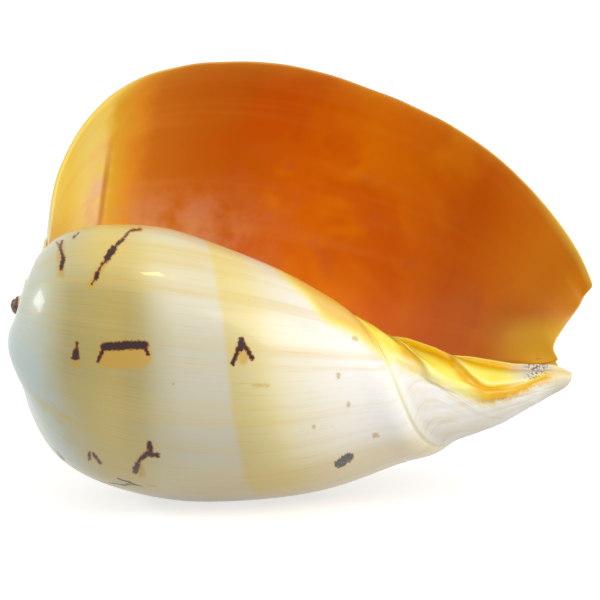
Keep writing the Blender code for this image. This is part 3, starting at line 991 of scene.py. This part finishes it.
insideTone = {
    # place is the way along the lip over 300 mm, from the suture to the front end
    "along": (
        (0.000, 255, 255, 235), (0.100, 255, 255, 125), (0.165, 255, 244, 105), (0.213, 255, 250, 140),
        (0.245, 255, 245, 122), (0.268, 238, 196, 58), (0.300, 238, 162, 48), (0.330, 216, 128, 34),
        (0.380, 212, 116, 24), (0.440, 212, 106, 12), (0.530, 240, 120, 4), (0.600, 254, 144, 5),
        (0.680, 242, 130, 12), (0.760, 228, 112, 14), (0.820, 240, 134, 18), (0.870, 240, 146, 26),
        (0.920, 232, 140, 24), (0.960, 242, 156, 16), (1.000, 255, 204, 76),
    ),
    "milky": srgb(244, 190, 140), "rose": srgb(214, 110, 60), "gold": srgb(255, 158, 8), "red": srgb(226, 96, 6),
    # of these, the duller brown also serves as painted shade deep in the mouth, and the pale pinkish cream as painted
    # sheen beside the shoulder crease
    "dusk": srgb(196, 98, 36), "rim": srgb(255, 238, 110), "line": srgb(250, 176, 80), "pearl": srgb(255, 228, 186),
    # of these, the darker brown-orange serves as painted shade in the shoulder crease
    "golden": srgb(255, 216, 70), "crease": srgb(196, 110, 44),
    "patches": (
        ("gold", 0.55, "MIX", ("cloud", 0.50, 0.66), ("reach", 0.95, 1.35), ("reach", 2.45, 2.1)),
        ("red", 0.6, "MIX", ("cloud", 0.46, 0.32), ("reach", 0.95, 1.35), ("reach", 2.45, 2.1)),
        ("rose", 0.35, "MIX", ("smallCloud", 0.56, 0.72), ("turn", -0.03, -0.10)),
        # duller brown deeper in the front of the mouth: partly the shell's brownish patches, partly painted shade of
        # the recess
        ("dusk", 0.65, "MIX", ("turn", -0.075, -0.13), ("reach", 2.0, 2.5), ("cloud", 0.15, 0.75),
         ("reach", 2.95, 2.75)),
        ("golden", 0.85, "MIX", ("px", 166.0, 190.0), ("pz", -1.0, -12.0)),
        # a paler band of the shell beside the shoulder crease, with painted sheen in it
        ("pearl", 1.0, "MIX", ("reach", 0.60, 0.74), ("reach", 0.775, 0.755), ("turn", -0.02, -0.08),
         ("smallCloud", 0.25, 0.75)),
        # painted shade: a darker line in the crease where the shoulder turns
        ("crease", 0.6, "MIX", ("reach", 0.750, 0.772), ("reach", 0.805, 0.780), ("turn", -0.03, -0.08)),
        ("milky", 0.55, "MIX", ("turn", -0.075, -0.125), ("reach", 1.7, 1.1), ("smallCloud", 0.30, 0.65)),
        ("line", 0.16, "MIX", ("lines", 0.5, 0.75)),
    ),
}


# The same inner colours serve the whorls' inside and the channel at the front end.
def insideColour(b, turn, reach, place):
    px, _, pz = b.split(place)
    cloud, smallCloud = b.noise(place, 0.022, 3.0, 0.6, 0.4), b.noise(place, 0.075, 3.0, 0.6)
    lines = b.noise(b.join(b.times(turn, 60.0), b.times(reach, 0.4), 0.0), 0.9, 3.0, 0.6)
    colour = b.ramp(b.math("ADD", b.math("DIVIDE", reach, 3.0), b.swing(smallCloud, 0.04)), insideTone["along"])
    colour = b.paint(colour, insideTone["patches"], insideTone, {
        "turn": turn, "reach": reach, "px": px, "pz": pz, "cloud": cloud, "smallCloud": smallCloud, "lines": lines})
    return colour, lines, smallCloud


def dressInside():
    b = insideSkin
    turn, _, reach = b.split(b.attribute("grown"))
    colour, lines, smallCloud = insideColour(b, turn, reach, squareOn(b))

    # a narrow paler rim, widest at the two ends of the lip
    rim = b.between(b.math("ADD", turn, b.swing(smallCloud, 0.006)), -0.016, -0.001)
    ends = b.math("MAXIMUM", b.between(reach, 1.0, 0.6), b.times(b.between(reach, 2.3, 2.7), 0.5))
    colour = b.mix(b.times(rim, b.math("MAXIMUM", ends, 0.12)), colour, insideTone["rim"])
    colour = b.mix(b.times(b.between(reach, 0.10, 0.02), 0.8), colour, outsideTone["callus"])
    rough = b.math("ADD", 0.24, b.times(lines, 0.2))
    b.finish(colour, rough, b.math("ADD", b.times(lines, 0.5), smallCloud), 0.25, 0.0004)


lipTone = {
    "along": (
        (0.00, 250, 236, 216), (0.10, 250, 226, 110), (0.25, 246, 208, 90), (0.36, 226, 150, 50),
        (0.60, 220, 140, 40), (0.80, 230, 170, 60), (0.92, 248, 196, 70), (1.00, 252, 196, 56),
    ),
    "cloud": srgb(240, 196, 90),
}


def dressLip():
    b = lipSkin
    reach = b.split(b.attribute("grown"))[2]
    cloud = b.noise(squareOn(b), 0.25, 3.0, 0.6)
    colour = b.ramp(b.math("DIVIDE", reach, 3.0), lipTone["along"])
    colour = b.mix(b.times(cloud, 0.4), colour, lipTone["cloud"])
    b.finish(colour, b.math("ADD", 0.2, b.times(cloud, 0.2)), cloud, 0.3, 0.0003)


siphonTone = {
    "cream": srgb(253, 250, 244), "warm": srgb(249, 242, 226), "crescent": srgb(232, 216, 182),
    "ridge": srgb(254, 252, 247), "keel": srgb(255, 250, 226), "worn": srgb(196, 162, 110), "tip": srgb(198, 176, 132),
    "glazeEdge": srgb(252, 240, 170),
    # worn cream skin with crescents of growth
    "patches": (
        ("warm", 1.0, "MIX", ("cloud", 0.35, 0.7)),
        ("crescent", 0.42, "MIX", ("fineLine", 0.50, 0.64)),
        ("ridge", 0.6, "MIX", ("fineLine", 0.44, 0.32)),
        ("keel", 1.0, "MIX", ("past", 0.024, 0.010)),
        ("worn", 0.4, "MIX", ("wornSpot", 0.68, 0.78)),
        ("tip", 0.35, "MIX", ("px", 188.0, 196.0)),
    ),
    # then the glaze over it, and the channel, which is coloured as the inside is
    "layers": (
        ("glazeEdge", 0.40, "MIX", ("edge", -0.22, 0.0)),
        ("glaze", 1.0, "MIX", ("covered",)),
        ("within", 1.0, "MIX", ("inChannel",)),
    ),
}


def dressSiphon():
    b = siphonSkin
    turn, _, past = b.split(b.attribute("grown"))
    # the gold with painted shade below each fold, and the painted highlight along each crest
    cover, gold, line = b.split(b.attribute("cover"))
    place = squareOn(b)
    px = b.split(place)[0]
    bow = b.math("POWER", b.math("SUBTRACT", past, 0.10), 2.0)
    lineSpace = b.join(b.times(b.math("SUBTRACT", turn, b.times(bow, 6.0)), 100.0), b.times(past, 4.0), 0.0)
    fineLine = b.noise(lineSpace, 0.80, 3.0, 0.6, 0.3)
    edge = b.math("ADD", cover, b.swing(b.noise(place, 0.34, 2.0, 0.6), 0.46))
    covered = b.between(edge, -0.12, 0.20)
    fields = {
        "past": past, "cover": cover, "gold": gold, "line": line, "px": px, "fineLine": fineLine,
        "cloud": b.noise(place, 0.11, 3.0, 0.6), "wornSpot": b.noise(place, 0.7, 3.0, 0.7),
        "fleck": b.noise(place, 1.1, 2.0, 0.6), "edge": edge, "covered": covered,
        "inChannel": b.split(b.attribute("tint"))[0],
    }
    colour = b.paint(siphonTone["cream"], siphonTone["patches"], siphonTone, fields)
    glaze = b.paint(glazeTone["pale"], glazeTone["patches"], glazeTone, fields)
    within = insideColour(b, turn, b.math("MULTIPLY_ADD", px, 0.0070, 1.50), place)[0]
    colour = b.paint(colour, siphonTone["layers"], {**siphonTone, "glaze": glaze, "within": within}, fields)

    rough = b.math("SUBTRACT", b.math("ADD", 0.42, b.times(fineLine, 0.15)), b.times(covered, 0.34))
    height = b.math("ADD", b.times(fineLine, b.math("SUBTRACT", 1.0, covered)), b.times(covered, 0.8))
    b.finish(colour, rough, height, 0.40, 0.0004)


budTone = ((0.3, 70, 34, 22), (0.52, 112, 66, 40), (0.75, 176, 150, 120))


def dressBud():
    b = budSkin
    cloud = b.noise(squareOn(b), 0.7, 3.0, 0.6)
    b.finish(b.ramp(cloud, budTone), b.math("ADD", 0.25, b.times(cloud, 0.3)), cloud, 0.4, 0.0003)


outsideSkin = Skin("shellOutside", roughness=0.3, coat=0.26, specular=0.32)
insideSkin = Skin("shellInside", roughness=0.3, coat=0.08, specular=0.25)
lipSkin = Skin("shellLip", roughness=0.3, coat=0.1)
siphonSkin = Skin("shellSiphonEnd", roughness=0.35, coat=0.13, specular=0.32)
budSkin = Skin("shellBud", roughness=0.35, coat=0.2)

pieces = [growWhorls()]
print("whorls grown", len(pieces[0].data.polygons), "faces")
pieces.append(buildSiphonEnd())
print("siphonal end shaped", len(pieces[1].data.polygons), "faces")
pieces.append(buildBud())
print("first whorl added", len(pieces[2].data.polygons), "faces")

# laid down as it rests: nose down, rolled back, belly on the table
lay = Matrix.Rotation(math.radians(-growth["roll"]), 4, "X")
lay = lay @ Matrix.Rotation(math.radians(growth["noseDown"]), 4, "Y")
for piece in pieces:
    piece.data.transform(lay)
allCo = np.concatenate([coords(p.data) for p in pieces])
low, high = allCo.min(0), allCo.max(0)
cadLow, cadHigh = (np.array(c) for c in cadBounds)
shift = (cadLow + cadHigh) / 2.0 - (low + high) / 2.0
shift[2] = cadLow[2] - low[2] - growth["sink"]
restShift = tuple(float(v) for v in shift)
print("rest shift", [round(v, 5) for v in restShift], "box", (high - low).round(5), "cad", (cadHigh - cadLow).round(5))
for piece in pieces:
    piece.data.transform(Matrix.Translation(restShift))
    co = coords(piece.data)
    co[:, 2] = np.maximum(co[:, 2], 0.0)                    # the small worn flat it lies on
    setCoords(piece.data, co)
    makeActive(piece)
    bpy.ops.object.shade_smooth()

strokeReach = strokeGroup()
dressOutside()
dressInside()
dressLip()
dressSiphon()
dressBud()
print("finishes made")

for piece in pieces:
    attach(piece, "root")
    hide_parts("melon_shell")

studio = {
    "floorSize": 14.0,
    "floorColour": srgb(200, 200, 200),
    "floorLift": 0.68,        # what the camera sees of the floor, over its lit colour
    "worldLevel": 0.52,
    "aimAlong": 0.1026,
    "aimUp": 0.0018,
    "width": 0.216,
    "lens": 800.0,
    "sensor": 36.0,
    # each lamp: place, aim, width, height, power, colour, whether the glaze mirrors it
    "lamps": {
        "softbox": ((1.0, -0.95, 1.10), (0.0, 0.0, 0.07), 0.9, 0.9, 10.6, (1.0, 0.98, 0.95), True),
        "sideCard": ((1.25, -1.15, 0.12), (0.06, -0.02, 0.05), 0.8, 0.5, 8.5, (1.0, 1.0, 1.0), False),
        "window": ((-1.31, 0.22, 0.57), (-0.094, -0.0515, 0.082), 0.48, 0.24, 5.0, (0.88, 0.96, 1.0), True),
        "ceilingLamp": ((0.01, -0.20, 1.29), (-0.05, -0.05, 0.10), 0.14, 0.07, 1.1, (1.0, 0.80, 0.25), True),
    },
}


def buildFloor():
    deselectAll()
    bpy.ops.mesh.primitive_plane_add(size=studio["floorSize"], location=(0.0, 0.0, 0.0))
    floor = bpy.context.object
    floor.name = "table"
    mat = bpy.data.materials.new("tablePaper")
    mat.use_nodes = True
    b = Board(mat.node_tree)
    shader = b.nodes["Principled BSDF"]
    for socket, value in (("Base Color", studio["floorColour"]), ("Roughness", 0.8), ("Specular IOR Level", 0.1)):
        shader.inputs[socket].default_value = value
    glow = b.nodes.new("ShaderNodeEmission")
    glow.inputs["Strength"].default_value = studio["floorLift"]
    add, pick = b.nodes.new("ShaderNodeAddShader"), b.nodes.new("ShaderNodeMixShader")
    b.put(add.inputs[0], shader.outputs[0])
    b.put(add.inputs[1], glow.outputs[0])
    for socket, value in zip(pick.inputs, (b.seen(), shader.outputs[0], add.outputs[0])):
        b.put(socket, value)
    b.put(b.nodes["Material Output"].inputs["Surface"], pick.outputs[0])
    floor.data.materials.append(mat)


def buildWorld():
    world = bpy.data.worlds.new("studio")
    bpy.context.scene.world = world
    world.use_nodes = True
    b = Board(world.node_tree)
    level = b.math("ADD", studio["worldLevel"], b.times(b.seen(), 1.0 - studio["worldLevel"]))
    back = b.nodes["Background"]
    back.inputs["Color"].default_value = (1.0, 1.0, 1.0, 1.0)
    b.put(back.inputs["Strength"], level)


def addLamp(name, place, target, width, height, power, colour, mirrored):
    lamp = bpy.data.lights.new(name, "AREA")
    lamp.shape = "RECTANGLE"
    lamp.size, lamp.size_y = width, height
    lamp.energy = power
    lamp.color = colour
    ob = bpy.data.objects.new(name, lamp)
    bpy.context.scene.collection.objects.link(ob)
    ob.location = place
    ob.rotation_euler = (Vector(target) - Vector(place)).to_track_quat("-Z", "Y").to_euler()
    ob.visible_glossy = mirrored


def buildCamera():
    tilt = math.radians(growth["roll"])
    up = Vector((0.0, math.sin(tilt), math.cos(tilt)))
    look = Vector((0.0, math.cos(tilt), -math.sin(tilt)))
    aim = Vector(restShift) + Vector((studio["aimAlong"], 0.0, 0.0)) + up * studio["aimUp"]
    cam = bpy.data.cameras.new("camera")
    cam.lens = studio["lens"]
    cam.sensor_width = studio["sensor"]
    cam.clip_end = 50.0
    ob = bpy.data.objects.new("camera", cam)
    bpy.context.scene.collection.objects.link(ob)
    ob.location = aim - look * (studio["width"] * studio["lens"] / studio["sensor"])
    ob.rotation_euler = look.to_track_quat("-Z", "Y").to_euler()
    bpy.context.scene.camera = ob


buildFloor()
buildWorld()
for name, lamp in studio["lamps"].items():
    addLamp(name, *lamp)
buildCamera()
bpy.context.scene.view_settings.view_transform = "Standard"
print("studio ready")
